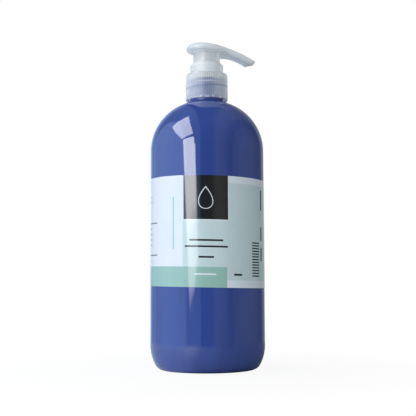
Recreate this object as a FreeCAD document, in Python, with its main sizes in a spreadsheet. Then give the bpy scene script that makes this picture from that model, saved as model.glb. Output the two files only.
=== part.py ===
import FreeCAD, Part
import math
import os

import Sketcher

# A one-litre oil bottle with a lotion pump, modelled with the head pressed down.
# Millimetres, +Z up, origin at the centre of the base, spout along +X, label front facing -Y.

SIZES = {
    # bottle
    "body_radius": 43.0,
    "bottle_wall": 1.0,
    "shoulder_height": 164.2,
    "shoulder_radius": 38.5,
    "shoulder_slope": 25.0,
    "heel_height": 18.0,
    "heel_radius": 30.0,
    "base_corner": 7.0,
    "push_up": 7.0,
    "push_up_radius": 26.0,
    "neck_radius": 12.5,
    "neck_bore": 10.7,
    "neck_collar": 0.35,
    "neck_collar_height": 1.4,
    "neck_height": 16.8,
    # screw thread between neck and closure
    "thread_pitch": 4.233,
    "thread_depth": 1.2,
    "thread_root": 2.2,
    "thread_crest": 0.9,
    "thread_turns": 1.25,
    "thread_start": 7.2,
    "thread_gap": 0.3,
    "thread_bite": 0.2,
    # label
    "label_bottom": 61.2,
    "label_height": 80.0,
    "label_thickness": 0.1,
    "label_gap": 0.03,
    "label_seam": 8.0,
    "label_tilt": 1.3,
    "label_trim": 10.75,
    # closure
    "closure_radius": 16.1,
    "closure_draft": 0.12,
    "closure_drop": 15.8,
    "closure_roof": 1.3,
    "closure_edge": 2.9,
    "closure_lead": 0.4,
    "closure_lead_height": 1.6,
    "rib_count": 72,
    "rib_groove": 0.45,
    "rib_depth": 0.3,
    "rib_foot": 1.2,
    # stack clamped on the neck
    "gasket_height": 1.0,
    "flange_height": 1.3,
    "flange_radius": 13.4,
    "stack_gap": 0.1,
    "turning_gap": 0.25,
    # chaplet
    "tower_radius": 12.7,
    "tower_height": 9.5,
    "tower_bevel": 2.1,
    "tower_rim": 0.3,
    "chaplet_flange": 1.3,
    "chaplet_rim": 0.75,
    "chaplet_floor": 0.9,
    "lug_height": 1.4,
    "lug_angle": 60.0,
    "lug_lift": 1.0,
    # actuator
    "skirt_radius": 10.3,
    "skirt_wall": 1.15,
    "skirt_step": 0.85,
    "skirt_inside": 8.0,
    "skirt_narrow": 5.4,
    "skirt_showing": 8.6,
    "skirt_flare": 1.3,
    "pad_radius": 15.7,
    "pad_thickness": 6.7,
    "pad_tilt": 6.0,
    "pad_shoulder": 3.6,
    "pad_crown": 2.0,
    "pad_hollow": 1.4,
    "pad_roof": 1.4,
    "spout_reach": 37.4,
    "spout_tip": 5.0,
    "spout_top_drop": 14.0,
    "spout_crease_drop": 11.3,
    "keel_width": 7.6,
    "keel_depth": 3.8,
    "outlet_drop": 10.5,
    "outlet_rise": 1.7,
    "outlet_length": 6.5,
    "outlet_lip": 1.6,
    "duct_width": 3.6,
    "duct_height": 2.2,
    "duct_floor": 1.4,
    "socket_wall": 1.5,
    "socket_lift": 1.3,
    # stem, piston and its plug
    "stem_radius": 4.0,
    "stem_bore": 2.4,
    "stem_length": 49.0,
    "running_gap": 0.06,
    "seat_gap": 0.05,
    "collar_rim": 1.2,
    "collar_height": 2.0,
    "piston_height": 8.0,
    "piston_lip": 1.8,
    "piston_waist": 0.9,
    "valve_travel": 1.2,
    "valve_stop": 0.2,
    "port_height": 3.8,
    "port_width": 1.4,
    "port_core": 0.8,
    "plug_flange": 5.4,
    "plug_flange_height": 2.0,
    "plug_shank": 8.0,
    "stroke": 16.0,
    "stroke_stop": 0.5,
    # housing, valve ball and dip tube
    "cylinder_bore": 6.3,
    "cylinder_wall": 1.3,
    "ball_radius": 2.5,
    "cage_radius": 3.3,
    "cage_height": 5.0,
    "cage_lip": 1.0,
    "cage_mouth": 2.3,
    "seat_radius": 1.6,
    "seat_throat": 2.0,
    "foot_taper": 5.0,
    "tube_radius": 3.0,
    "tube_bore": 2.0,
    "tube_socket": 10.0,
    "tube_clearance": 3.0,
    # return spring, as squeezed by the pressed head
    "spring_wire": 0.9,
    "spring_radius": 4.75,
    "spring_length": 13.4,
    "spring_turns": 8.5,
}

# Lugs of the twist lock on each of its two rings, and ports round the foot of the plug's shank.
LUG_COUNT = 2
PORT_COUNT = 4

# Radius of a rounded edge of the head, as a share of the straight line across it.
EDGE_BULGE = 0.72

# Cross sections of the spout's upper shell from the pad to the tip: place along the reach, half
# width between tip and pad, and the fall of its lower crease and of its top.
SPOUT_SECTIONS = (
    (0.10, 0.92, 0.00, 0.06),
    (0.22, 0.74, 0.00, 0.12),
    (0.34, 0.50, 0.04, 0.18),
    (0.48, 0.26, 0.25, 0.30),
    (0.68, 0.10, 0.54, 0.52),
    (0.84, 0.04, 0.77, 0.74),
    (1.00, 0.00, 1.00, 1.00),
)

doc = FreeCAD.newDocument("PumpBottle")
sheet = doc.addObject("Spreadsheet::Sheet", "Sizes")
for row, (size_name, number) in enumerate(SIZES.items(), start=1):
    sheet.set("A%d" % row, size_name)
    sheet.set("B%d" % row, str(number))
    sheet.setAlias("B%d" % row, size_name)
doc.recompute()


class Size:
    """A dimension: its number now, and the expression over the sheet that keeps it up to date."""

    def __init__(self, number, text):
        self.number = number
        self.text = text

    def joined(self, other, sign, number):
        return Size(number, "(%s %s %s)" % (self.text, sign, as_size(other).text))

    def __add__(self, other):
        return self.joined(other, "+", self.number + as_size(other).number)

    def __sub__(self, other):
        return self.joined(other, "-", self.number - as_size(other).number)

    def __mul__(self, other):
        return self.joined(other, "*", self.number * as_size(other).number)

    def __truediv__(self, other):
        return self.joined(other, "/", self.number / as_size(other).number)


def as_size(value):
    """A plain number as a Size."""
    return value if isinstance(value, Size) else Size(float(value), repr(float(value)))


def cell(name):
    """The sheet's cell of that name as a Size."""
    return Size(float(sheet.get(name)), "Sizes." + name)


def root(value):
    return Size(math.sqrt(value.number), "sqrt(%s)" % value.text)


def sine(value):
    return Size(math.sin(math.radians(value.number)), "sin(%s)" % value.text)


def cosine(value):
    return Size(math.cos(math.radians(value.number)), "cos(%s)" % value.text)


def bulge_radius(half_chord, rise):
    """Radius of the arc that rises by that much over half its chord."""
    return (half_chord * half_chord + rise * rise) / (rise * 2)


# Helpers that draw and build


def new_body(name):
    body = doc.addObject("PartDesign::Body", name)
    body.Label = name
    return body


def origin_item(body, role):
    return next(item for item in body.Origin.OriginFeatures if item.Role == role)


def new_sketch(body, name, role="XZ_Plane", offset=None):
    """A sketch on one of the body's own origin planes, moved along its normal by offset."""
    sketch = body.newObject("Sketcher::SketchObject", name)
    sketch.AttachmentSupport = [(origin_item(body, role), "")]
    sketch.MapMode = "FlatFace"
    if offset is not None:
        sketch.setExpression("AttachmentOffset.Base.z", offset.text)
    return sketch


def arc_centre(start, end, radius, turn):
    """The centre of the arc from start to end; turn is +1 for anticlockwise."""
    chord = end - start
    half = chord.Length / 2
    rise = math.sqrt(max(radius * radius - half * half, 0.0))
    across = FreeCAD.Vector(-chord.y, chord.x, 0).normalize()
    return (start + end) / 2 + across * rise * turn


def draw_edge(sketch, start, end, arc):
    """One edge of an outline: straight, or an arc given as (radius, turn)."""
    if not arc:
        sketch.addGeometry(Part.LineSegment(start, end), False)
        return
    radius = as_size(arc[0]).number
    centre = arc_centre(start, end, radius, arc[1])
    angles = [math.atan2(point.y - centre.y, point.x - centre.x) for point in (start, end)]
    if arc[1] < 0:
        angles.reverse()
    circle = Part.Circle(centre, FreeCAD.Vector(0, 0, 1), radius)
    sketch.addGeometry(Part.ArcOfCircle(circle, angles[0], angles[1]), False)


def hold(sketch, constraint, value):
    """Add a dimension to a sketch and tie it to the sheet."""
    place = sketch.addConstraint(constraint)
    sketch.setExpression("Constraints[%d]" % place, value.text)


def draw_outline(sketch, corners):
    """Draw a closed outline. Each corner is (x, y) where a straight edge leaves it, or
    (x, y, radius, turn) where an arc leaves it, with turn +1 for anticlockwise."""
    points = [(as_size(corner[0]), as_size(corner[1])) for corner in corners]
    places = [FreeCAD.Vector(x.number, y.number, 0) for x, y in points]
    starts = [2 if len(corner) == 4 and corner[3] < 0 else 1 for corner in corners]
    count = len(corners)
    for index, corner in enumerate(corners):
        draw_edge(sketch, places[index], places[(index + 1) % count], corner[2:])
    for index in range(count):
        following = (index + 1) % count
        ends = (index, 3 - starts[index], following, starts[following])
        sketch.addConstraint(Sketcher.Constraint("Coincident", *ends))
    for index, point in enumerate(points):
        for kind, axis, value in zip(("DistanceX", "DistanceY"), (-2, -1), point):
            if value.number == 0:
                sketch.addConstraint(Sketcher.Constraint("PointOnObject", index, starts[index], axis))
            else:
                hold(sketch, Sketcher.Constraint(kind, index, starts[index], value.number), value)
        if len(corners[index]) == 4:
            radius = as_size(corners[index][2])
            hold(sketch, Sketcher.Constraint("Radius", index, radius.number), radius)


def revolve(body, name, corners, angle=None, role="XZ_Plane"):
    """Turn an outline about the Z axis, all round or through an angle that straddles its plane."""
    sketch = new_sketch(body, name + "_outline", role)
    draw_outline(sketch, corners)
    turned = body.newObject("PartDesign::Revolution", name)
    turned.Profile = sketch
    turned.ReferenceAxis = (sketch, ["V_Axis"])
    turned.Angle = 360
    if angle is not None:
        turned.Midplane = True
        turned.setExpression("Angle", angle.text)
    return turned


def slab(body, name, kind, corners, width):
    """A Pad or Pocket of an outline in the XZ plane, of that width about the plane."""
    sketch = new_sketch(body, name + "_outline")
    draw_outline(sketch, corners)
    feature = body.newObject(kind, name)
    feature.Profile = sketch
    feature.SideType = "Symmetric"
    feature.setExpression("Length", width.text)
    return feature


def ring_of(body, name, original, count):
    """Repeat a feature evenly about the Z axis."""
    pattern = body.newObject("PartDesign::PolarPattern", name)
    pattern.Originals = [original]
    pattern.Axis = (origin_item(body, "Z_Axis"), [""])
    pattern.Angle = 360
    pattern.setExpression("Occurrences", as_size(count).text)
    body.Tip = pattern
    return pattern


def helical_ridge(body, name, foot, crest, height):
    """A screw thread's ridge from its foot radius to its crest radius, starting at that height."""
    sketch = new_sketch(body, name + "_outline")
    half_root = cell("thread_root") / 2
    half_crest = cell("thread_crest") / 2
    corners = [
        (foot, height - half_root),
        (crest, height - half_crest),
        (crest, height + half_crest),
        (foot, height + half_root),
    ]
    draw_outline(sketch, corners)
    ridge = body.newObject("PartDesign::AdditiveHelix", name)
    ridge.Profile = sketch
    ridge.ReferenceAxis = (sketch, ["V_Axis"])
    ridge.Mode = "pitch-turns-angle"
    ridge.setExpression("Pitch", cell("thread_pitch").text)
    ridge.setExpression("Turns", cell("thread_turns").text)
    return ridge


# Heights and radii that several pieces share

shoulder_x = cell("body_radius") - cell("shoulder_radius")
slope_sine = sine(cell("shoulder_slope"))
slope_cosine = cosine(cell("shoulder_slope"))
slope_rise = slope_sine / slope_cosine
slope_x = shoulder_x + cell("shoulder_radius") * slope_sine
slope_z = cell("shoulder_height") + cell("shoulder_radius") * slope_cosine
collar_radius = cell("neck_radius") + cell("neck_collar")
neck_foot = slope_z + (slope_x - collar_radius) * slope_rise
neck_top = neck_foot + cell("neck_height")
thread_height = neck_foot + cell("thread_start")
flange_bottom = neck_top + cell("gasket_height")
flange_top = flange_bottom + cell("flange_height")
stack_top = flange_top + cell("chaplet_flange")
tower_top = stack_top + cell("tower_height")
tower_mouth = cell("skirt_radius") + cell("turning_gap")
skirt_bottom = tower_top - cell("skirt_inside")
skirt_core = cell("skirt_radius") - cell("skirt_step")
pad_bottom = tower_top + cell("skirt_showing")
pad_top = pad_bottom + cell("pad_thickness")
keel_bottom = pad_bottom - cell("keel_depth")
duct_bottom = keel_bottom + cell("duct_floor")
duct_top = duct_bottom + cell("duct_height")
stem_top = duct_bottom - cell("seat_gap")
stem_bottom = stem_top - cell("stem_length")
stem_slide = cell("stem_radius") + cell("running_gap")
plug_top = stem_bottom - cell("port_height")
plug_bottom = plug_top - cell("plug_flange_height")
piston_bottom = plug_top + cell("seat_gap")
piston_top = piston_bottom + cell("piston_height")
collar_bottom = piston_top + cell("valve_travel") + cell("valve_stop")
collar_top = collar_bottom + cell("collar_height")
spring_seat = plug_bottom - cell("spring_length") - cell("seat_gap") * 2
cage_top = spring_seat - cell("cage_lip")
ball_seat = cage_top - cell("cage_height")
socket_top = ball_seat - cell("seat_throat")
socket_bottom = socket_top - cell("tube_socket")
seat_rise = cell("cage_radius") - cell("seat_radius")
ball_height = ball_seat - cell("seat_radius") + (cell("ball_radius") + cell("seat_gap")) * root(as_size(2))


def make_bottle():
    body = new_body("bottle")
    wall = cell("bottle_wall")
    outer = cell("body_radius")
    heel = cell("heel_radius")
    corner = cell("base_corner")
    heel_x = outer - heel
    heel_sine = (cell("heel_height") - corner) / (heel - corner)
    heel_cosine = root(as_size(1) - heel_sine * heel_sine)
    foot_x = heel_x + (heel - corner) * heel_cosine
    dome = bulge_radius(cell("push_up_radius"), cell("push_up"))
    floor_edge = root((dome + wall) * (dome + wall) - cell("push_up_radius") * cell("push_up_radius"))
    inner_slope_x = slope_x - wall * slope_sine
    inner_slope_z = slope_z - wall * slope_cosine
    inner_heel_x = heel_x + (heel - wall) * heel_cosine
    inner_heel_z = cell("heel_height") - (heel - wall) * heel_sine
    bore_foot = inner_slope_z + (inner_slope_x - cell("neck_bore")) * slope_rise
    collar_z = neck_foot + cell("neck_collar_height")
    corners = [
        # outside, from the raised base up to the lip
        (0, cell("push_up"), dome, -1),
        (cell("push_up_radius"), 0),
        (foot_x, 0, corner, 1),
        (heel_x + heel * heel_cosine, cell("heel_height") - heel * heel_sine, heel, 1),
        (outer, cell("heel_height")),
        (outer, cell("shoulder_height"), cell("shoulder_radius"), 1),
        (slope_x, slope_z),
        (collar_radius, neck_foot),
        (collar_radius, collar_z),
        (cell("neck_radius"), collar_z),
        (cell("neck_radius"), neck_top),
        # inside, from the lip down to the base
        (cell("neck_bore"), neck_top),
        (cell("neck_bore"), bore_foot),
        (inner_slope_x, inner_slope_z, cell("shoulder_radius") - wall, -1),
        (outer - wall, cell("shoulder_height")),
        (outer - wall, cell("heel_height"), heel - wall, -1),
        (inner_heel_x, inner_heel_z, corner - wall, -1),
        (foot_x, wall),
        (cell("push_up_radius"), floor_edge - (dome - cell("push_up")), dome + wall, 1),
        (0, cell("push_up") + wall),
    ]
    revolve(body, "bottle_shell", corners)
    crest = cell("neck_radius") + cell("thread_depth")
    helical_ridge(body, "neck_thread", cell("neck_radius") - cell("thread_bite"), crest, thread_height)
    return body


def add_cylinder(name, radius, height, bottom):
    cylinder = doc.addObject("Part::Cylinder", name)
    cylinder.setExpression("Radius", radius.text)
    cylinder.setExpression("Height", height.text)
    cylinder.setExpression("Placement.Base.z", bottom.text)
    return cylinder


def make_label():
    """A sleeve round the body, cut by a slab that is tilted as the label sits, open at the back seam."""
    inside = cell("body_radius") + cell("label_gap")
    outside = inside + cell("label_thickness")
    margin = cell("label_trim")
    tall = cell("label_height") + margin * 2
    sleeve = doc.addObject("Part::Cut", "label_sleeve")
    sleeve.Base = add_cylinder("label_outside", outside, tall, cell("label_bottom") - margin)
    sleeve.Tool = add_cylinder("label_inside", inside, tall, cell("label_bottom") - margin)
    tilted = add_cylinder("label_slab", outside + margin, cell("label_height"), cell("label_bottom"))
    tilted.Placement = FreeCAD.Placement(FreeCAD.Vector(), FreeCAD.Rotation(FreeCAD.Vector(0, 1, 0), 1))
    tilted.setExpression("Placement.Base.z", cell("label_bottom").text)
    tilted.setExpression("Placement.Rotation.Angle", cell("label_tilt").text)
    band = doc.addObject("Part::Common", "label_band")
    band.Base = sleeve
    band.Tool = tilted
    seam = doc.addObject("Part::Box", "label_seam_gap")
    seam.setExpression("Length", cell("label_seam").text)
    seam.setExpression("Width", (outside * 2).text)
    seam.setExpression("Height", tall.text)
    seam.setExpression("Placement.Base.x", (cell("label_seam") / -2).text)
    seam.setExpression("Placement.Base.z", (cell("label_bottom") - margin).text)
    label = doc.addObject("Part::Cut", "label")
    label.Base = band
    label.Tool = seam
    label.Label = "label"
    return label


def make_closure():
    body = new_body("closure")
    bottom = neck_top - cell("closure_drop")
    ceiling = stack_top + cell("stack_gap")
    top = ceiling + cell("closure_roof")
    outer = cell("closure_radius")
    edge = cell("closure_edge")
    lead = cell("closure_lead")
    lead_height = cell("closure_lead_height")
    inner = cell("neck_radius") + cell("thread_depth") + cell("thread_gap")
    hole = cell("tower_radius") + cell("turning_gap")
    upper = outer - cell("closure_draft")
    corners = [
        (inner + lead, bottom),
        (outer, bottom),
        (upper, top - edge, edge, 1),
        (upper - edge, top),
        (hole, top),
        (hole, ceiling),
        (inner, ceiling),
        (inner, bottom + lead_height),
        (inner + lead, bottom + lead_height - lead),
    ]
    revolve(body, "closure_shell", corners)
    crest = cell("neck_radius") + cell("thread_gap")
    start = thread_height - cell("thread_pitch") / 2
    helical_ridge(body, "closure_thread", inner + cell("thread_bite"), crest, start)
    groove_sketch = new_sketch(body, "rib_groove_outline", "XY_Plane", bottom + cell("rib_foot"))
    groove_centre = outer + cell("rib_groove") - cell("rib_depth")
    centre = FreeCAD.Vector(groove_centre.number, 0, 0)
    circle = Part.Circle(centre, FreeCAD.Vector(0, 0, 1), cell("rib_groove").number)
    groove_sketch.addGeometry(circle, False)
    groove_sketch.addConstraint(Sketcher.Constraint("PointOnObject", 0, 3, -1))
    hold(groove_sketch, Sketcher.Constraint("DistanceX", 0, 3, groove_centre.number), groove_centre)
    hold(groove_sketch, Sketcher.Constraint("Radius", 0, cell("rib_groove").number), cell("rib_groove"))
    groove = body.newObject("PartDesign::Pocket", "rib_groove")
    groove.Profile = groove_sketch
    groove.Reversed = True
    groove.setExpression("Length", (top - bottom).text)
    ring_of(body, "ribs", groove, cell("rib_count"))
    return body


def make_gasket():
    body = new_body("gasket")
    outer = cell("flange_radius")
    corners = [
        (cell("neck_bore"), neck_top),
        (outer, neck_top),
        (outer, flange_bottom),
        (cell("neck_bore"), flange_bottom),
    ]
    revolve(body, "gasket_ring", corners)
    return body


def make_housing():
    """The pump's cylinder: flange, bore, spring ledge, ball cage, valve seat and tube socket."""
    body = new_body("housing")
    outer = cell("cylinder_bore") + cell("cylinder_wall")
    foot = cell("tube_radius") + cell("seat_gap") + cell("cylinder_wall")
    socket = cell("tube_radius") + cell("seat_gap")
    corners = [
        (cell("cylinder_bore"), flange_top),
        (cell("cylinder_bore"), spring_seat),
        (cell("cage_mouth"), spring_seat),
        (cell("cage_mouth"), cage_top),
        (cell("cage_radius"), cage_top),
        (cell("cage_radius"), ball_seat + seat_rise),
        (cell("seat_radius"), ball_seat),
        (cell("seat_radius"), socket_top),
        (socket, socket_top),
        (socket, socket_bottom),
        (foot, socket_bottom),
        (foot, cage_top - cell("foot_taper")),
        (outer, cage_top),
        (outer, flange_bottom),
        (cell("flange_radius"), flange_bottom),
        (cell("flange_radius"), flange_top),
    ]
    revolve(body, "housing_shell", corners)
    return body


def make_chaplet():
    """The collar: plug in the housing, clamped flange, floor with the stem's guide, tower and lock lugs."""
    body = new_body("chaplet")
    plug = cell("cylinder_bore") - cell("seat_gap")
    plug_end = collar_top + cell("stroke") + cell("stroke_stop")
    flange = cell("tower_radius") + cell("chaplet_rim")
    floor = stack_top + cell("chaplet_floor")
    corners = [
        (stem_slide, plug_end),
        (plug, plug_end),
        (plug, flange_top),
        (flange, flange_top),
        (flange, stack_top),
        (cell("tower_radius"), stack_top),
        (cell("tower_radius"), tower_top - cell("tower_bevel")),
        (tower_mouth + cell("tower_rim"), tower_top),
        (tower_mouth, tower_top),
        (tower_mouth, floor),
        (stem_slide, floor),
    ]
    revolve(body, "chaplet_shell", corners)
    lug_bottom = skirt_bottom + cell("lug_height") + cell("lug_lift")
    lug_corners = [
        (skirt_core + cell("turning_gap"), lug_bottom),
        (tower_mouth + cell("tower_rim"), lug_bottom),
        (tower_mouth + cell("tower_rim"), lug_bottom + cell("lug_height")),
        (skirt_core + cell("turning_gap"), lug_bottom + cell("lug_height")),
    ]
    lug = revolve(body, "chaplet_lug", lug_corners, cell("lug_angle"), "YZ_Plane")
    ring_of(body, "chaplet_lugs", lug, LUG_COUNT)
    return body


def draw_shell_section(body, index, place, width_share, crease_share, top_share):
    """One D-shaped section of the spout's upper shell, on a plane across the spout."""
    half = cell("spout_tip") + (cell("pad_radius") - cell("spout_tip")) * width_share
    bottom = pad_bottom - cell("spout_crease_drop") * crease_share
    top = pad_top - cell("spout_top_drop") * top_share
    shoulder = cell("pad_shoulder") * half / cell("pad_radius")
    crown = cell("pad_crown") * (half + cell("spout_tip")) / (cell("pad_radius") + cell("spout_tip"))
    side = top - crown - bottom
    bend = root(shoulder * shoulder + side * side) * EDGE_BULGE
    arch = bulge_radius(half - shoulder, crown)
    corners = [
        (half * -1, bottom),
        (half, bottom, bend, 1),
        (half - shoulder, top - crown, arch, 1),
        ((half - shoulder) * -1, top - crown, bend, 1),
    ]
    sketch = new_sketch(body, "shell_section_%d" % index, "YZ_Plane", cell("spout_reach") * place)
    draw_outline(sketch, corners)
    return sketch


def make_pad(body):
    """The round thumb pad on top of the head, leaning towards the spout."""
    sketch = new_sketch(body, "pad_outline")
    sketch.AttachmentOffset = FreeCAD.Placement(
        FreeCAD.Vector(0, pad_bottom.number, 0), FreeCAD.Rotation(FreeCAD.Vector(0, 0, -1), 1))
    sketch.setExpression("AttachmentOffset.Base.y", pad_bottom.text)
    sketch.setExpression("AttachmentOffset.Rotation.Angle", cell("pad_tilt").text)
    rim = cell("pad_radius") - cell("pad_shoulder")
    side = cell("pad_thickness") - cell("pad_crown")
    bend = root(cell("pad_shoulder") * cell("pad_shoulder") + side * side) * EDGE_BULGE
    corners = [
        (0, 0),
        (cell("pad_radius"), 0, bend, 1),
        (rim, side, bulge_radius(rim, cell("pad_crown")), 1),
        (0, cell("pad_thickness")),
    ]
    draw_outline(sketch, corners)
    pad = body.newObject("PartDesign::Revolution", "pad")
    pad.Profile = sketch
    pad.ReferenceAxis = (sketch, ["V_Axis"])
    pad.Angle = 360


def make_actuator():
    """The head: pad, skirt, stem socket, drooping spout with a keel under it, and the flow duct."""
    body = new_body("actuator")
    socket = stem_slide + cell("socket_wall")
    skirt_bore = skirt_core - cell("skirt_wall")
    step = skirt_bottom + cell("skirt_narrow")
    hollow = pad_bottom + cell("pad_hollow")
    roof = hollow + cell("pad_roof")
    flare = cell("skirt_flare")
    corners = [
        (stem_slide, skirt_bottom + cell("socket_lift")),
        (socket, skirt_bottom + cell("socket_lift")),
        (socket, hollow),
        (skirt_bore, hollow),
        (skirt_bore, skirt_bottom),
        (skirt_core, skirt_bottom),
        (skirt_core, step),
        (cell("skirt_radius"), step),
        (cell("skirt_radius"), pad_bottom - flare),
        (cell("skirt_radius") + flare, roof),
        (0, roof),
        (0, duct_top),
        (cell("stem_bore"), duct_top),
        (cell("stem_bore"), duct_bottom),
        (stem_slide, duct_bottom),
    ]
    revolve(body, "head_core", corners)
    make_pad(body)
    lug_corners = [
        (skirt_core - cell("skirt_wall") / 2, skirt_bottom),
        (tower_mouth - cell("turning_gap"), skirt_bottom),
        (tower_mouth - cell("turning_gap"), skirt_bottom + cell("lug_height")),
        (skirt_core - cell("skirt_wall") / 2, skirt_bottom + cell("lug_height")),
    ]
    lug = revolve(body, "head_lug", lug_corners, cell("lug_angle"))
    ring_of(body, "head_lugs", lug, LUG_COUNT)

    sections = [draw_shell_section(body, index, *shares) for index, shares in enumerate(SPOUT_SECTIONS)]
    shell = body.newObject("PartDesign::AdditiveLoft", "spout_shell")
    shell.Profile = sections[0]
    shell.Sections = sections[1:]
    body.Tip = shell

    outlet = pad_bottom - cell("outlet_drop")
    lip_x = cell("spout_reach") - cell("outlet_lip")
    keel_x = lip_x - cell("outlet_length")
    bend_x = cell("skirt_radius")
    keel_fall = keel_bottom - outlet
    keel_radius = bulge_radius(keel_x - bend_x, keel_fall)
    keel_centre = keel_bottom - keel_radius
    tip_top = pad_top - cell("spout_top_drop")
    keel_corners = [
        (socket - cell("socket_wall") / 2, keel_bottom),
        (bend_x, keel_bottom, keel_radius, -1),
        (keel_x, outlet),
        (lip_x, outlet),
        (lip_x, tip_top),
        (bend_x, hollow),
        (socket - cell("socket_wall") / 2, hollow),
    ]
    slab(body, "keel", "PartDesign::Pad", keel_corners, cell("keel_width"))
    tip_corners = [
        (keel_x, outlet),
        (keel_x, outlet - cell("outlet_drop")),
        (cell("spout_reach") + cell("outlet_lip"), outlet - cell("outlet_drop")),
        (cell("spout_reach") + cell("outlet_lip"), tip_top),
        (cell("spout_reach"), tip_top),
        (lip_x, outlet + cell("outlet_rise")),
    ]
    slab(body, "tip_cut", "PartDesign::Pocket", tip_corners, cell("pad_radius") * 2)
    low_radius = keel_radius + cell("duct_floor")
    high_radius = low_radius + cell("duct_height")
    fall = outlet - cell("duct_floor") - keel_centre
    duct_corners = [
        (0, duct_bottom),
        (bend_x, duct_bottom, low_radius, -1),
        (bend_x + root(low_radius * low_radius - fall * fall), keel_centre + fall),
        (bend_x + root(high_radius * high_radius - fall * fall), keel_centre + fall, high_radius, 1),
        (bend_x, duct_top),
        (0, duct_top),
    ]
    slab(body, "duct", "PartDesign::Pocket", duct_corners, cell("duct_width"))
    return body


def make_stem():
    body = new_body("stem")
    collar = cell("stem_radius") + cell("collar_rim")
    corners = [
        (cell("stem_bore"), stem_bottom),
        (cell("stem_radius"), stem_bottom),
        (cell("stem_radius"), collar_bottom),
        (collar, collar_bottom),
        (collar, collar_top),
        (cell("stem_radius"), collar_top),
        (cell("stem_radius"), stem_top),
        (cell("stem_bore"), stem_top),
    ]
    revolve(body, "stem_tube", corners)
    return body


def make_piston():
    body = new_body("piston")
    lip = cell("cylinder_bore") - cell("running_gap")
    waist = lip - cell("piston_waist")
    corners = [
        (stem_slide, piston_bottom),
        (lip, piston_bottom),
        (lip, piston_bottom + cell("piston_lip")),
        (waist, piston_bottom + cell("piston_lip")),
        (waist, piston_top - cell("piston_lip")),
        (lip, piston_top - cell("piston_lip")),
        (lip, piston_top),
        (stem_slide, piston_top),
    ]
    revolve(body, "piston_sleeve", corners)
    return body


def make_piston_core():
    """The plug in the stem's foot: a flange that the piston seats on and a grooved shank."""
    body = new_body("piston_core")
    shank = cell("stem_bore") - cell("seat_gap")
    shank_top = stem_bottom + cell("plug_shank")
    corners = [
        (0, plug_bottom),
        (cell("plug_flange"), plug_bottom),
        (cell("plug_flange"), plug_top),
        (shank, plug_top),
        (shank, shank_top),
        (0, shank_top),
    ]
    revolve(body, "plug", corners)
    port_corners = [
        (cell("port_core"), plug_top),
        (cell("stem_bore"), plug_top),
        (cell("stem_bore"), shank_top + cell("port_core")),
        (cell("port_core"), shank_top + cell("port_core")),
    ]
    port = slab(body, "port", "PartDesign::Pocket", port_corners, cell("port_width"))
    ring_of(body, "ports", port, PORT_COUNT)
    return body


def make_inlet_ball():
    ball = doc.addObject("Part::Sphere", "inlet_ball")
    ball.Label = "inlet_ball"
    ball.setExpression("Radius", cell("ball_radius").text)
    ball.setExpression("Placement.Base.z", ball_height.text)
    return ball


def make_dip_tube():
    body = new_body("dip_tube")
    bottom = cell("push_up") + cell("bottle_wall") + cell("tube_clearance")
    top = socket_top - cell("seat_gap")
    corners = [
        (cell("tube_bore"), bottom),
        (cell("tube_radius"), bottom),
        (cell("tube_radius"), top),
        (cell("tube_bore"), top),
    ]
    revolve(body, "dip_tube_wall", corners)
    return body


def biarc(start, start_way, end, end_way):
    """Two arcs that join two points smoothly with the given directions."""
    chord = end - start
    turn = start_way + end_way
    spread = 2 * (1 - start_way.dot(end_way))
    along = chord.dot(turn)
    reach = (math.sqrt(along * along + spread * chord.dot(chord)) - along) / spread
    joint = (start + end + (start_way - end_way) * reach) / 2
    arcs = []
    for first, last, way in ((start, joint, start_way), (end, joint, end_way * -1)):
        across = last - first
        side = (across - way * across.dot(way)).normalize()
        radius = across.dot(across) / (2 * across.dot(side))
        centre = first + side * radius
        middle = ((first + last) / 2 - centre).normalize() * radius + centre
        arcs.append((first, middle, last))
    arcs[1] = tuple(reversed(arcs[1]))
    return [Part.Arc(*points).toShape() for points in arcs]


def coil_points(radius, bottom, pitch, steps, per_turn):
    """Points and directions along a helix about the Z axis."""
    places = []
    for step in range(steps + 1):
        angle = 2 * math.pi * step / per_turn
        outward = FreeCAD.Vector(math.cos(angle), math.sin(angle), 0)
        around = FreeCAD.Vector(-math.sin(angle), math.cos(angle), 0)
        point = outward * radius + FreeCAD.Vector(0, 0, bottom + pitch * step / per_turn)
        way = (around * radius + FreeCAD.Vector(0, 0, pitch / (2 * math.pi))).normalize()
        places.append((point, way))
    return places


def least_gap(edges, wire, turn_length):
    """Least clear distance between stretches of the wire that are half a turn or more apart."""
    points = [point for edge in edges for point in edge.discretize(6)[:-1]]
    apart = max(1, round(len(points) * turn_length / 2 / sum(edge.Length for edge in edges)))
    nearest = min(
        first.distanceToPoint(last)
        for index, first in enumerate(points)
        for last in points[index + apart:]
    )
    return nearest - wire


def make_spring():
    """One wire wound as a helix of quarter turns between the ledge and the plug's flange."""
    wire = float(sheet.get("spring_wire"))
    radius = float(sheet.get("spring_radius"))
    turns = float(sheet.get("spring_turns"))
    rise = float(sheet.get("spring_length")) - wire
    per_turn = 4
    bottom = spring_seat.number + float(sheet.get("seat_gap")) + wire / 2
    places = coil_points(radius, bottom, rise / turns, round(turns * per_turn), per_turn)
    edges = []
    for (start, start_way), (end, end_way) in zip(places, places[1:]):
        edges.extend(biarc(start, start_way, end, end_way))
    section = Part.Wire(Part.makeCircle(wire / 2, places[0][0], places[0][1]))
    shell = Part.BRepOffsetAPI.MakePipeShell(Part.Wire(edges))
    shell.add(section)
    shell.build()
    shell.makeSolid()
    gap = least_gap(edges, wire, 2 * math.pi * radius)
    print("spring: least gap to itself %.2f mm" % gap)
    spring = doc.addObject("Part::Feature", "spring")
    spring.Label = "spring"
    spring.Shape = shell.shape()
    spring.Placement = FreeCAD.Placement()
    return spring


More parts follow.
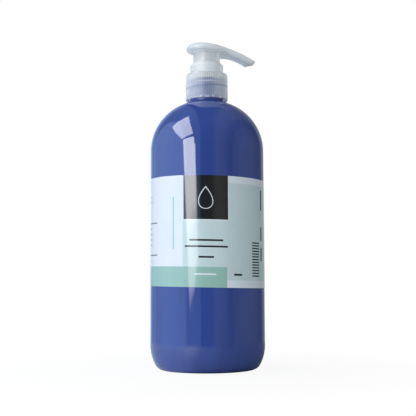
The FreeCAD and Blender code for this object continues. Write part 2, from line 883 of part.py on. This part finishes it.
pieces = [
    make_bottle(),
    make_label(),
    make_closure(),
    make_gasket(),
    make_housing(),
    make_chaplet(),
    make_actuator(),
    make_stem(),
    make_piston(),
    make_piston_core(),
    make_spring(),
    make_inlet_ball(),
    make_dip_tube(),
]
doc.recompute()

for item in doc.Objects:
    if "Invalid" in item.State or "Error" in item.State:
        raise RuntimeError("%s failed: %s" % (item.Name, item.State))
os.makedirs("parts", exist_ok=True)
for piece in pieces:
    shape = piece.Shape
    if shape.isNull() or not shape.isValid() or len(shape.Solids) != 1:
        raise RuntimeError("%s has no single valid solid" % piece.Label)
    print("%-12s %9.1f mm3" % (piece.Label, shape.Volume))
    shape.exportStep("parts/%s.step" % piece.Label)
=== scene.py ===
"""Looks of the pump oil bottle: materials, spring, floor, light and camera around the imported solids."""
import math

import bpy
from mathutils import Matrix, Vector


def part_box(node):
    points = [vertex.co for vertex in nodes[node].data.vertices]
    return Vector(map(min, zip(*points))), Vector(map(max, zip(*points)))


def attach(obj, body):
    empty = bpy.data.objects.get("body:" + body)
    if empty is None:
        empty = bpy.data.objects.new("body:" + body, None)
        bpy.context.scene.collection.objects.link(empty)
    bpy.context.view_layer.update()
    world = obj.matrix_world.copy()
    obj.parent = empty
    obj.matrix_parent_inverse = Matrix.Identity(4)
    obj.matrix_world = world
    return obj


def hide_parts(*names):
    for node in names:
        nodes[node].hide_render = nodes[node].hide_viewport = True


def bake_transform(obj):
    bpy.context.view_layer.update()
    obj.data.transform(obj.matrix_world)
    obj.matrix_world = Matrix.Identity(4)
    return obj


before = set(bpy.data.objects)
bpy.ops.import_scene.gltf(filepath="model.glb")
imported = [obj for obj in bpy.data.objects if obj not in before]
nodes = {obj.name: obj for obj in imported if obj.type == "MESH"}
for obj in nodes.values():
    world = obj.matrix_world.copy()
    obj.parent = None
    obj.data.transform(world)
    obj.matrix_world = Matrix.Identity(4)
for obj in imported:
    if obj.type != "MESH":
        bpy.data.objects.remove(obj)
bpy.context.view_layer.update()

MM = 0.001
WHITE = (1.0, 1.0, 1.0, 1.0)
BLACK = (0.0, 0.0, 0.0, 1.0)
# A noise pattern keeps mostly between these values.
NOISE_LOW = 0.3
NOISE_HIGH = 0.7


def linear(red, green, blue):
    """A colour written as 0 to 255 sRGB values, in linear light with alpha."""
    shares = []
    for part in (red, green, blue):
        share = part / 255
        shares.append(share / 12.92 if share <= 0.04045 else ((share + 0.055) / 1.055) ** 2.4)
    return (*shares, 1.0)


class Tree:
    """A node tree with short ways to add nodes. A source is a socket or a plain value."""

    def __init__(self, node_tree, easing="LINEAR"):
        self.tree = node_tree
        self.easing = easing

    def node(self, kind, **settings):
        made = self.tree.nodes.new(kind)
        for key, setting in settings.items():
            setattr(made, key, setting)
        return made

    def feed(self, target, source):
        """Link a socket, or set a plain value."""
        if isinstance(source, bpy.types.NodeSocket):
            self.tree.links.new(source, target)
        else:
            target.default_value = source

    def math(self, operation, *sources):
        made = self.node("ShaderNodeMath", operation=operation)
        for target, source in zip(made.inputs, sources):
            self.feed(target, source)
        return made.outputs["Value"]

    def product(self, first, *others):
        for source in others:
            first = self.math("MULTIPLY", first, source)
        return first

    def total(self, first, *others):
        for source in others:
            first = self.math("ADD", first, source)
        return first

    def ramp(self, source, low, high, start=0.0, end=1.0):
        """Source from low to high, mapped to start to end and held there."""
        made = self.node("ShaderNodeMapRange", clamp=True, interpolation_type=self.easing)
        self.feed(made.inputs["Value"], source)
        limits = {"From Min": low, "From Max": high, "To Min": start, "To Max": end}
        for name, number in limits.items():
            self.feed(made.inputs[name], number)
        return made.outputs["Result"]

    def mix(self, factor, first, second):
        made = self.node("ShaderNodeMix", data_type="RGBA")
        for name, source in (("Factor", factor), ("A", first), ("B", second)):
            self.feed(made.inputs[name], source)
        return next(socket for socket in made.outputs if socket.type == "RGBA")

    def axes(self, vector):
        """The X, Y and Z of a vector socket."""
        made = self.node("ShaderNodeSeparateXYZ")
        self.feed(made.inputs["Vector"], vector)
        return [made.outputs[axis] for axis in "XYZ"]


class Paint(Tree):
    """A material of one Principled shader, with patterns in the object's own metres."""

    def __init__(self, name):
        self.material = bpy.data.materials.new(name)
        self.material.use_nodes = True
        super().__init__(self.material.node_tree)
        self.shader = self.tree.nodes["Principled BSDF"]
        self.place = self.node("ShaderNodeTexCoord").outputs["Object"]
        self.x, self.y, self.z = self.axes(self.place)

    def set(self, **values):
        """Inputs of the shader, with underscores for spaces."""
        for key, source in values.items():
            self.feed(self.shader.inputs[key.replace("_", " ")], source)
        return self

    def noise(self, size, detail=3.0, stretch=(1.0, 1.0, 1.0), roughness=0.5):
        """Noise whose features are about size metres across, stretched along the axes."""
        mapping = self.node("ShaderNodeMapping")
        self.feed(mapping.inputs["Vector"], self.place)
        mapping.inputs["Scale"].default_value = [1 / (size * share) for share in stretch]
        made = self.node("ShaderNodeTexNoise")
        self.feed(made.inputs["Vector"], mapping.outputs["Vector"])
        made.inputs["Scale"].default_value = 1.0
        made.inputs["Detail"].default_value = detail
        made.inputs["Roughness"].default_value = roughness
        return made.outputs["Fac"]

    def spread(self, pattern, start=0.0, end=1.0):
        """A noise pattern's usual range, mapped to start to end."""
        return self.ramp(pattern, NOISE_LOW, NOISE_HIGH, start, end)

    def relief(self, height, strength, distance):
        bump = self.node("ShaderNodeBump")
        bump.inputs["Strength"].default_value = strength
        bump.inputs["Distance"].default_value = distance
        self.feed(bump.inputs["Height"], height)
        self.set(Normal=bump.outputs["Normal"])


def dress(paint, *names):
    """Give the named solids this material."""
    for name in names:
        nodes[name].material_slots[0].material = paint.material


def place_in_scene(thing):
    bpy.context.scene.collection.objects.link(thing)
    return thing


# Blue blown plastic, glossy, with a faint flow down the wall and fine handling marks. The moulded neck is
# duller.
BLUE_DEEP = linear(38, 61, 134)
BLUE_LIGHT = linear(44, 69, 145)
GLOSSY_IOR = 1.8
NECK_FOOT = 202.8 * MM
NECK_DULLNESS = 0.35
blue = Paint("blue_plastic")
flow = blue.noise(12 * MM, detail=4.0, stretch=(1.0, 1.0, 6.0))
marks = blue.noise(1.2 * MM, detail=6.0, stretch=(1.0, 1.0, 4.0), roughness=0.65)
peel = blue.noise(3.5 * MM, detail=2.0)
neck_dull = blue.ramp(blue.z, NECK_FOOT, NECK_FOOT + 0.5 * MM, 0.0, NECK_DULLNESS)
blue.set(
    Base_Color=blue.mix(blue.spread(flow), BLUE_DEEP, BLUE_LIGHT),
    Roughness=blue.total(blue.ramp(marks, 0.35, 0.75, 0.035, 0.085), neck_dull),
    IOR=GLOSSY_IOR,
)
blue.relief(peel, strength=0.05, distance=0.05 * MM)
dress(blue, "bottle")

# Printed film label. Its print is laid out in millimetres along the wrap and above the base.
LABEL_RADIUS = 43.13 * MM
LABEL_TILT = math.tan(math.radians(1.3))
PRINT_EDGE = 0.06
PAPER = linear(222, 230, 238)
PALE_MINT = linear(197, 217, 220)
MINT = linear(147, 187, 178)
INK = linear(17, 18, 20)
GREY_INK = linear(96, 104, 108)
LINE_MINT = linear(150, 205, 198)
label = Paint("label_film_print")
turn_from_front = label.math("ARCTAN2", label.x, label.product(label.y, -1.0))
along = label.product(turn_from_front, LABEL_RADIUS / MM)
above = label.product(label.math("MULTIPLY_ADD", label.x, LABEL_TILT, label.z), 1 / MM)


def wrap(degrees):
    """Millimetres along the wrap from the front."""
    return math.radians(degrees) * LABEL_RADIUS / MM


def between(source, low, high):
    """1 between low and high, with a print-sharp edge."""
    rise = label.ramp(source, low - PRINT_EDGE, low + PRINT_EDGE)
    fall = label.ramp(source, high - PRINT_EDGE, high + PRINT_EDGE, 1.0, 0.0)
    return label.product(rise, fall)


# The label's fields end past its own edges where FAR is given, in millimetres or degrees.
FAR = 200.0
PANEL_LEFT = wrap(-23.2)
PANEL_RIGHT = wrap(20.4)
PANEL_FOOT = 109.6
PANEL_GAP = 0.8
BAR_TOP = 75.8
# Each field: its ends along the wrap, its foot and top, its colour. Later ones lie over earlier ones.
fields = [
    (PANEL_LEFT - PANEL_GAP, wrap(118), 66.5, 136.2, PALE_MINT),
    (PANEL_LEFT - PANEL_GAP, PANEL_RIGHT + PANEL_GAP, 136.0, FAR, PAPER),
    (wrap(-FAR), wrap(19), 0.0, BAR_TOP, MINT),
    (PANEL_LEFT - PANEL_GAP, PANEL_RIGHT + PANEL_GAP, PANEL_FOOT - PANEL_GAP, FAR, PAPER),
    (PANEL_LEFT, PANEL_RIGHT, PANEL_FOOT, FAR, INK),
]


def rule(degrees, width, height, thick, colour):
    """A plain line, centred that far round the wrap and at that height."""
    middle = wrap(degrees)
    fields.append((middle - width / 2, middle + width / 2, height - thick / 2, height + thick / 2, colour))


# Plain rules stand where a label carries its words.
TITLE_THICK = 1.3
rule(-1, 24.6, 94.8, TITLE_THICK, INK)
rule(-1, 31.5, 90.3, TITLE_THICK, INK)
rule(-1, 11.0, 82.8, TITLE_THICK, INK)
rule(-2, 15.6, 70.6, 1.1, PAPER)
rule(-34.5, 1.2, 107.0, 38.0, LINE_MINT)
rule(30.8, 6.8, 70.6, 1.5, INK)
for height in (127.0, 123.5):
    rule(-76, 9.0, height, 0.8, LINE_MINT)
for height in (107.5, 84.0):
    rule(-73.5, 23.0, height, 0.9, GREY_INK)
for height in (103.5, 99.5, 95.5, 91.5):
    rule(-80, 12.5, height, 0.7, GREY_INK)
# An evenly ruled block, and upright rules to its right.
BLOCK_LINES = 13
BLOCK_FOOT = 70.0
BLOCK_PITCH = 2.0
for step in range(BLOCK_LINES):
    rule(55.3, 9.5, BLOCK_FOOT + BLOCK_PITCH * step, BLOCK_PITCH / 2, INK)
for height, length in ((126.0, 15.0), (101.0, 10.0), (86.0, 10.0)):
    rule(67, 2.4, height, length, INK)
print_colour = PAPER
for low, high, foot, top, colour in fields:
    mask = label.product(between(along, low, high), between(above, foot, top))
    print_colour = label.mix(mask, print_colour, colour)

# An outlined oil drop on the dark panel, one and a half times as tall as it is wide.
DROP_FOOT = 117.0
DROP_WIDTH = 11.0
DROP_LINE = 0.55
DROP_SLENDER = 1.5
DROP_SWELL = 1.3
DROP_CENTRE = (PANEL_LEFT + PANEL_RIGHT) / 2


def drop_mask(foot, width):
    """1 inside a drop. At each share of its height, its half width goes by sqrt(share) * (1 - share)."""
    share = label.ramp(above, foot, foot + DROP_SLENDER * width)
    swell = label.product(label.math("SQRT", share), label.math("SUBTRACT", 1.0, share))
    half = label.product(swell, DROP_SWELL * width)
    side = label.math("ABSOLUTE", label.math("SUBTRACT", along, DROP_CENTRE))
    return label.ramp(label.math("SUBTRACT", half, side), 0.0, PRINT_EDGE * 2)


drop_ring = label.math(
    "SUBTRACT",
    drop_mask(DROP_FOOT, DROP_WIDTH),
    drop_mask(DROP_FOOT + DROP_LINE, DROP_WIDTH - 2 * DROP_LINE),
)
print_colour = label.mix(drop_ring, print_colour, PAPER)
fibre = label.noise(0.5 * MM, detail=5.0, roughness=0.7)
wash = label.noise(9 * MM, detail=3.0)
label.set(
    Base_Color=label.mix(label.spread(wash, 0.0, 0.04), print_colour, GREY_INK),
    Roughness=label.spread(fibre, 0.07, 0.13),
    IOR=GLOSSY_IOR,
)
label.relief(fibre, strength=0.04, distance=0.03 * MM)
dress(label, "label")

# Natural polypropylene: milky, with faint clouding. It hides what lies behind it but lets lamplight through.
NATURAL_CLEAR = linear(234, 240, 244)
NATURAL_MILKY = linear(218, 226, 232)
# Thin parts are painted lighter and thick parts greyer than the plain plastic: painted light and shade for
# the light that the plastic lets through.
NATURAL_THIN_LIT = linear(240, 245, 248)
NATURAL_THICK_SHADE = linear(208, 216, 222)
# Painted blue of the neck seen through the cap.
NATURAL_PAINTED_NECK_BLUE = linear(220, 231, 248)
NATURAL_IOR = 1.49
LAMP_COVER = 0.1


def natural_plastic(name, gloss, depth, clear=NATURAL_CLEAR):
    """Natural plastic of that roughness, into which light goes that deep."""
    made = Paint(name)
    cloud = made.noise(5 * MM, detail=4.0)
    skin = made.noise(4 * MM, detail=2.0)
    made.cloudy = made.mix(made.spread(cloud), clear, NATURAL_MILKY)
    made.set(
        Base_Color=made.cloudy,
        Roughness=made.spread(skin, gloss, gloss + 0.03),
        IOR=NATURAL_IOR,
        Subsurface_Weight=1.0,
        Subsurface_Radius=(1.0, 1.0, 1.0),
        Subsurface_Scale=depth,
    )
    return made


def milky(paint, cover, lamp_cover=LAMP_COVER):
    """Hide this share of what lies behind each face, and less of a lamp."""
    lamp_ray = paint.node("ShaderNodeLightPath").outputs["Is Shadow Ray"]
    thinned = paint.ramp(lamp_ray, 0.0, 1.0, 1.0, lamp_cover)
    return paint.set(Alpha=paint.product(thinned, cover))


# The head's skirt is thin and lets more light through than its pad and spout, which are thick. The pad and
# spout are painted greyer, as painted shade for the light that their thickness keeps back, and they also
# hide more of what lies behind.
SKIRT_RADIUS = 10.3 * MM
PAD_FOOT = 241.0 * MM
THIN_COVER = 0.6
THICK_COVER = 0.98
head = natural_plastic("natural_head", gloss=0.06, depth=20 * MM)
head_reach = head.math("SQRT", head.total(head.product(head.x, head.x), head.product(head.y, head.y)))
head_thick_and_shade = head.math(
    "MAXIMUM",
    head.ramp(head_reach, SKIRT_RADIUS, SKIRT_RADIUS + MM),
    head.ramp(head.z, PAD_FOOT - MM, PAD_FOOT),
)
head.set(Base_Color=head.mix(head_thick_and_shade, head.cloudy, NATURAL_THICK_SHADE))
milky(head, head.ramp(head_thick_and_shade, 0.0, 1.0, THIN_COVER, THICK_COVER))
dress(head, "actuator", "stem", "piston_core", "housing")
# The thin collar is painted lighter: painted light for what its thin wall lets through.
collar = natural_plastic("natural_collar", gloss=0.3, depth=10 * MM, clear=NATURAL_THIN_LIT)
dress(milky(collar, THIN_COVER), "chaplet")

# The thin cap lets the neck show where the eye meets its wall square on. Its ribs and its lip cloud it, an
# inner bead draws a pale ring, and the neck's thread shows as a dark line where it touches the wall. Heights
# are in millimetres.
RIB_COUNT = 72
RIB_SHARE = 0.06
THREAD_PITCH = 4.233
THREAD_FOOT = 209.99
THREAD_TOP = 215.3
THREAD_SHARE = 0.45
BEAD_HEIGHT = 216.3
BEAD_CORE = 0.3
BEAD_HALF = 1.0
BEAD_COVER = 0.46
LIP_TOP = 205.9
LIP_COVER = 0.9
CAP_TOP = 224.59
CAP_TOP_COVER = 0.75
CAP_LAMP_COVER = 0.3
NECK_TOP = 219.6
# The thin cap is painted lighter in the same way: painted light for what its thin wall lets through.
cap = natural_plastic("natural_cap", gloss=0.3, depth=8 * MM, clear=NATURAL_THIN_LIT)
cap_height = cap.math("DIVIDE", cap.z, MM)
cap_turn = cap.math("ARCTAN2", cap.y, cap.x)
bead_gap = cap.math("ABSOLUTE", cap.math("SUBTRACT", cap_height, BEAD_HEIGHT))
# Below the neck's top and outside the pale ring, the cap's colour is painted bluish: painted light of the
# blue neck showing through the milky wall.
painted_neck_blue = cap.product(
    cap.ramp(cap_height, NECK_TOP - 1.5, NECK_TOP, 1.0, 0.0),
    cap.ramp(bead_gap, BEAD_CORE, BEAD_HALF),
)
cap.set(Base_Color=cap.mix(painted_neck_blue, cap.cloudy, NATURAL_PAINTED_NECK_BLUE))

# How squarely the eye meets the wall, taken as a smooth cylinder: 0 is square on, 1 is edge on.
outward = cap.node("ShaderNodeCombineXYZ")
cap.feed(outward.inputs["X"], cap.x)
cap.feed(outward.inputs["Y"], cap.y)
wall_normal = cap.node(
    "ShaderNodeVectorTransform",
    vector_type="NORMAL",
    convert_from="OBJECT",
    convert_to="WORLD",
)
cap.feed(wall_normal.inputs["Vector"], outward.outputs["Vector"])
slant = cap.node("ShaderNodeLayerWeight")
slant.inputs["Blend"].default_value = 0.5
cap.feed(slant.inputs["Normal"], wall_normal.outputs["Vector"])
facing = slant.outputs["Facing"]
cover = cap.total(cap.ramp(facing, 0.03, 0.24, 0.19, 0.5), cap.ramp(facing, 0.5, 0.75, 0.0, 0.45))
rib_wave = cap.math("COSINE", cap.product(cap_turn, RIB_COUNT))
rib_depth = cap.ramp(facing, 0.05, 0.3, RIB_SHARE, 0.01)
cover = cap.math("MULTIPLY_ADD", rib_wave, rib_depth, cover)
thread_rise = cap.product(cap_turn, THREAD_PITCH / (2 * math.pi))
climb = cap.math("SUBTRACT", cap.math("SUBTRACT", cap_height, THREAD_FOOT), thread_rise)
turns_up = cap.math("FRACT", cap.math("MULTIPLY_ADD", climb, 1 / THREAD_PITCH, 0.5))
thread_gap = cap.math("ABSOLUTE", cap.math("SUBTRACT", turns_up, 0.5))
thread_line = cap.product(
    cap.ramp(thread_gap, 0.08, 0.2, THREAD_SHARE, 0.0),
    cap.ramp(cap_height, THREAD_FOOT, THREAD_FOOT + 1.0),
    cap.ramp(cap_height, THREAD_TOP, THREAD_TOP + 0.6, 1.0, 0.0),
)
cover = cap.product(cover, cap.math("SUBTRACT", 1.0, thread_line))
# The lip clouds the cap's lower rim, and a noise breaks that cloud into whitish spots: painted glints along
# the rim.
lip = cap.ramp(cap_height, LIP_TOP - 1.2, LIP_TOP, LIP_COVER, 0.0)
lip_breaks_painted_glints = cap.ramp(cap.noise(4 * MM, detail=1.0), 0.4, 0.62)
for cloudy_place in (
    cap.ramp(bead_gap, BEAD_CORE, BEAD_HALF, BEAD_COVER, 0.0),
    cap.ramp(cap_height, CAP_TOP - 1.4, CAP_TOP - 0.4, 0.0, CAP_TOP_COVER),
    cap.product(lip, lip_breaks_painted_glints),
):
    cover = cap.math("MAXIMUM", cover, cloudy_place)
milky(cap, cover, CAP_LAMP_COVER)
dress(cap, "closure")


def grained(paint, pattern, first, second, roughness, strength, distance, **more):
    """Colour, roughness and relief that follow one noise pattern."""
    paint.set(
        Base_Color=paint.mix(pattern, first, second),
        Roughness=paint.spread(pattern, *roughness),
        **more,
    )
    paint.relief(pattern, strength, distance)


# Softer, whiter plastic of the sliding seal.
seal = Paint("seal_polyethylene")
grained(
    seal,
    seal.noise(2 * MM, detail=4.0),
    linear(222, 226, 228),
    linear(242, 244, 244),
    roughness=(0.35, 0.5),
    strength=0.05,
    distance=0.05 * MM,
)
dress(seal, "piston")

# Suction tube, with the draw lines of its extrusion.
tube = Paint("tube_polyethylene")
grained(
    tube,
    tube.noise(0.6 * MM, detail=3.0, stretch=(1.0, 1.0, 40.0)),
    linear(214, 222, 226),
    linear(236, 240, 242),
    roughness=(0.25, 0.4),
    strength=0.1,
    distance=0.05 * MM,
    Transmission_Weight=0.5,
    IOR=1.51,
)
dress(tube, "dip_tube")

# Closed-cell foam of the neck gasket.
CELL_SIZE = 0.35 * MM
foam = Paint("gasket_foam_cells")
cells = foam.node("ShaderNodeTexVoronoi")
cells.inputs["Scale"].default_value = 1 / CELL_SIZE
foam.feed(cells.inputs["Vector"], foam.place)
cell_depth = cells.outputs["Distance"]
cell_wall = foam.ramp(cell_depth, 0.0, 0.6)
foam.set(
    Base_Color=foam.mix(cell_wall, linear(250, 250, 248), linear(226, 228, 228)),
    Roughness=foam.ramp(cell_wall, 0.0, 1.0, 0.55, 0.8),
)
foam.relief(cell_depth, strength=0.4, distance=0.1 * MM)
dress(foam, "gasket")

# Drawn spring wire and a ground ball.
wire_steel = Paint("spring_wire_steel")
grained(
    wire_steel,
    wire_steel.noise(0.25 * MM, detail=5.0, stretch=(1.0, 1.0, 0.3)),
    linear(150, 152, 156),
    linear(196, 198, 200),
    roughness=(0.2, 0.38),
    strength=0.15,
    distance=0.03 * MM,
    Metallic=1.0,
)
ball_steel = Paint("ball_ground_steel")
grained(
    ball_steel,
    ball_steel.noise(0.3 * MM, detail=6.0),
    linear(188, 190, 194),
    linear(216, 217, 219),
    roughness=(0.08, 0.18),
    strength=0.03,
    distance=0.02 * MM,
    Metallic=1.0,
)
dress(ball_steel, "inlet_ball")

# The return spring, wound anew as a coil of round wire in place of the imported one.
SPRING_TURNS = 8.5
SPRING_WIRE = 0.45 * MM
STEPS_PER_TURN = 48
WIRE_SIDES = 14


def wound_wire(low, high):
    """A coil of round wire that fills the box between the two corners. SPRING_WIRE is the wire's radius."""
    coil_radius = (high.x - low.x) / 2 - SPRING_WIRE
    foot = low.z + SPRING_WIRE
    rise = high.z - low.z - 2 * SPRING_WIRE
    steps = round(SPRING_TURNS * STEPS_PER_TURN)
    slope = rise / (SPRING_TURNS * 2 * math.pi * coil_radius)
    points = []
    faces = []
    for step in range(steps + 1):
        angle = 2 * math.pi * step / STEPS_PER_TURN
        outward = Vector((math.cos(angle), math.sin(angle), 0))
        way = Vector((-math.sin(angle), math.cos(angle), slope)).normalized()
        upward = way.cross(outward) * -1
        centre = outward * coil_radius + Vector((0, 0, foot + rise * step / steps))
        for side in range(WIRE_SIDES):
            turn = 2 * math.pi * side / WIRE_SIDES
            points.append(centre + (outward * math.cos(turn) + upward * math.sin(turn)) * SPRING_WIRE)
        if step:
            first = (step - 1) * WIRE_SIDES
            for side in range(WIRE_SIDES):
                here = first + side
                after = first + (side + 1) % WIRE_SIDES
                faces.append((here, after, after + WIRE_SIDES, here + WIRE_SIDES))
    faces.append(tuple(reversed(range(WIRE_SIDES))))
    faces.append(tuple(range(steps * WIRE_SIDES, (steps + 1) * WIRE_SIDES)))
    mesh = bpy.data.meshes.new("wound_spring")
    mesh.from_pydata(points, [], faces)
    mesh.polygons.foreach_set("use_smooth", [True] * len(mesh.polygons))
    mesh.update()
    return place_in_scene(bpy.data.objects.new("wound_spring", mesh))


spring_low, spring_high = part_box("spring")
spring = wound_wire(spring_low, spring_high)
spring.data.materials.append(wire_steel.material)
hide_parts("spring")
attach(spring, "pump_unit")
# A blended piece has no parent.
spring.parent = None
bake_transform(spring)

# Floor: a round white disc that keeps a soft shadow near the object and fades into the background.
FLOOR_RADIUS = 0.31
FLOOR_SIDES = 96
COOL_FLOOR = (0.8, 0.92, 1.0, 1.0)
floor_rim = []
for side in range(FLOOR_SIDES):
    turn = 2 * math.pi * side / FLOOR_SIDES
    floor_rim.append((FLOOR_RADIUS * math.cos(turn), FLOOR_RADIUS * math.sin(turn), 0.0))
floor_mesh = bpy.data.meshes.new("floor")
floor_mesh.from_pydata(floor_rim, [], [tuple(range(FLOOR_SIDES))])
floor = place_in_scene(bpy.data.objects.new("floor", floor_mesh))
floor_paint = Paint("floor_white")
reach = floor_paint.node("ShaderNodeVectorMath", operation="LENGTH")
floor_paint.feed(reach.inputs[0], floor_paint.place)
distance = reach.outputs["Value"]
sideways = floor_paint.math("DIVIDE", floor_paint.x, distance)
# Its colour is painted light and shade: lighter to the left of the object, where the lamps are, darker to
# the right, and a little darker close around the base.
floor_painted_light = floor_paint.product(
    floor_paint.total(
        floor_paint.ramp(sideways, -0.6, -0.15, 0.8, 0.3),
        floor_paint.ramp(sideways, 0.0, 0.6, 0.2, 0.03),
    ),
    floor_paint.ramp(distance, 0.045, 0.09, 1.05, 1.15),
)
floor_paint.set(Base_Color=floor_paint.mix(floor_painted_light, BLACK, COOL_FLOOR), Roughness=0.6)
# The camera sees it almost white, and all white further out.
glow = floor_paint.node("ShaderNodeEmission")
glow.inputs["Color"].default_value = WHITE
glow.inputs["Strength"].default_value = 1.0
fade = floor_paint.ramp(distance, 0.05, 0.2, 0.93, 1.0)
camera_ray = floor_paint.node("ShaderNodeLightPath").outputs["Is Camera Ray"]
floor_blend = floor_paint.node("ShaderNodeMixShader")
blend_sources = (
    floor_paint.product(camera_ray, fade),
    floor_paint.shader.outputs["BSDF"],
    glow.outputs["Emission"],
)
for target, source in zip(floor_blend.inputs, blend_sources):
    floor_paint.feed(target, source)
floor_output = floor_paint.tree.nodes["Material Output"]
floor_paint.feed(floor_output.inputs["Surface"], floor_blend.outputs["Shader"])
floor_mesh.materials.append(floor_paint.material)

# Studio: a room that shiny walls and other surfaces meet at different levels, seen as plain white by the
# camera. X, Y and Z are parts of the direction into the room.
world = bpy.data.worlds.new("studio")
bpy.context.scene.world = world
world.use_nodes = True
room = Tree(world.node_tree, easing="SMOOTHSTEP")
room_x, room_y, room_z = room.axes(room.node("ShaderNodeTexCoord").outputs["Generated"])

# What shiny walls mirror: brighter panels to the left and behind, dimmer below the horizon. Each step across
# the room gives where it begins and ends along X, and the level before and after it.
LEFT_PANEL = (-0.73, -0.63, 0.72, 0.0)
PANEL_STEPS = (
    (-0.25, -0.21, 0.3, 0.0),
    (0.12, 0.34, 0.11, 0.31),
    (0.5, 0.74, 0.0, -0.15),
    (0.76, 0.8, 0.0, 0.1),
    (0.89, 0.92, 0.0, 0.06),
)
horizon = room.ramp(room_z, -0.02, 0.1, 0.63, 1.0)
panels = room.total(
    room.product(room.ramp(room_x, *LEFT_PANEL), horizon),
    *(room.ramp(room_x, *step) for step in PANEL_STEPS),
)
panels = room.product(panels, room.ramp(room_y, 0.0, 0.6, 1.0, 0.68))
sweep = room.total(room.ramp(room_y, 0.62, 0.85, 0.0, 0.36), room.ramp(room_y, 0.86, 0.97, 0.0, 0.5))
sweep = room.product(sweep, room.ramp(room_x, -0.2, 0.4, 1.0, 0.5), horizon)
mirrored = room.total(panels, sweep, room.ramp(room_z, 0.5, 0.9, 0.0, 0.03))

# What lights the surfaces: an even fill with a bright sweep behind, dimmer from the left, above and below.
FILL = 0.64
BEHIND = 0.95
FRONT = 0.36
fill = room.product(
    room.ramp(room_y, -0.1, 0.4, FILL, BEHIND),
    room.ramp(room_x, -0.6, 0.0, 0.5, 1.0),
)
fill = room.product(
    room.total(fill, room.ramp(room_y, -0.9, -0.2, FRONT, 0.0)),
    room.ramp(room_z, 0.2, 0.8, 1.0, 0.42),
    room.ramp(room_z, -0.3, 0.0, 0.3, 1.0),
)

# Which of them a ray meets.
COOL = (0.97, 1.0, 1.03, 1.0)
COOL_PANEL = (0.76, 1.0, 1.5, 1.0)
GREY_PANEL = (0.88, 0.94, 0.88, 1.0)
rays = room.node("ShaderNodeLightPath")
glossy = rays.outputs["Is Glossy Ray"]
plain = room.math("MAXIMUM", rays.outputs["Is Camera Ray"], rays.outputs["Is Transmission Ray"])
level = room.total(
    room.product(mirrored, glossy),
    room.product(fill, room.math("SUBTRACT", 1.0, glossy)),
)
panel_colour = room.mix(room.ramp(room_x, -0.25, 0.15), COOL_PANEL, GREY_PANEL)
background = room.tree.nodes["Background"]
room.feed(background.inputs["Strength"], room.math("MAXIMUM", level, plain))
room.feed(background.inputs["Color"], room.mix(plain, room.mix(glossy, COOL, panel_colour), WHITE))


def softbox(name, centre, across, upward, radiance):
    """A rectangular soft lamp with that middle, those sides and that brightness, facing the object."""
    side = Vector(across)
    rise = Vector(upward)
    width = side.length
    height = rise.length
    side.normalize()
    rise = (rise - side * rise.dot(side)).normalized()
    away = side.cross(rise)
    lamp = bpy.data.lights.new(name, "AREA")
    lamp.shape = "RECTANGLE"
    lamp.size = width
    lamp.size_y = height
    lamp.energy = radiance * math.pi * width * height
    made = bpy.data.objects.new(name, lamp)
    made.matrix_world = Matrix.Translation(centre) @ Matrix((side, rise, away)).transposed().to_4x4()
    return place_in_scene(made)


softbox(
    "softbox_high",
    centre=(-0.565, -0.345, 0.689),
    across=(0.400, -0.099, 0.128),
    upward=(0.062, 0.653, 0.220),
    radiance=4.3,
)
strip = softbox(
    "softbox_strip",
    centre=(-0.722, -1.177, 0.265),
    across=(0.750, -0.020, 0.056),
    upward=(0.246, 0.851, 0.590),
    radiance=5.6,
)

# The strip's glow is a slanted band on its lamp that narrows to a point and dims at its foot, and ends short
# of its top. Its place across and up the lamp runs from 0 to 1.
BAND_BLUR = 0.02
BAND_TOP = 0.95
BAND_BEND = 0.72
strip.data.use_nodes = True
band = Tree(strip.data.node_tree)
lamp_place = band.node("ShaderNodeNewGeometry").outputs["Parametric"]
band_x, band_y = band.axes(lamp_place)[:2]
band_left = band.total(
    band.ramp(band_y, 0.1, 0.4, 0.0, 0.061),
    band.ramp(band_y, BAND_BEND, 1.0, 0.0, 0.244),
)
band_point = band.total(
    band.ramp(band_y, 0.072, 0.117, 0.0, 0.45),
    band.ramp(band_y, 0.117, 0.268, 0.0, 0.466),
)
band_right = band.math("MINIMUM", band_point, band.ramp(band_y, BAND_BEND, 1.0, 0.838, 1.0))
band_glow = band.product(
    band.total(band.ramp(band_y, 0.1, 0.17, 0.15, 0.45), band.ramp(band_y, 0.391, 0.426, 0.0, 0.55)),
    band.ramp(band.math("SUBTRACT", band_x, band_left), -BAND_BLUR, BAND_BLUR),
    band.ramp(band.math("SUBTRACT", band_right, band_x), -BAND_BLUR, BAND_BLUR),
    band.ramp(band_y, BAND_TOP, BAND_TOP + 0.015, 1.0, 0.0),
)
band.feed(band.tree.nodes["Emission"].inputs["Strength"], band_glow)

# Camera: low, in front of the lower half of the body, looking slightly up at it.
IMAGE_SIDE = 416
FOCAL_PIXELS = 890
SENSOR = 36.0
CAMERA_PLACE = (0.6 * MM, -675 * MM, 65.3 * MM)
CAMERA_PITCH = math.radians(94.73)
CAMERA_ROLL = math.radians(-0.23)
camera_data = bpy.data.cameras.new("camera")
camera_data.sensor_width = SENSOR
camera_data.lens = FOCAL_PIXELS / IMAGE_SIDE * SENSOR
camera = place_in_scene(bpy.data.objects.new("camera", camera_data))
camera.matrix_world = (
    Matrix.Translation(CAMERA_PLACE)
    @ Matrix.Rotation(CAMERA_PITCH, 4, "X")
    @ Matrix.Rotation(CAMERA_ROLL, 4, "Z")
)
bpy.context.scene.camera = camera
bpy.context.scene.view_settings.view_transform = "Standard"
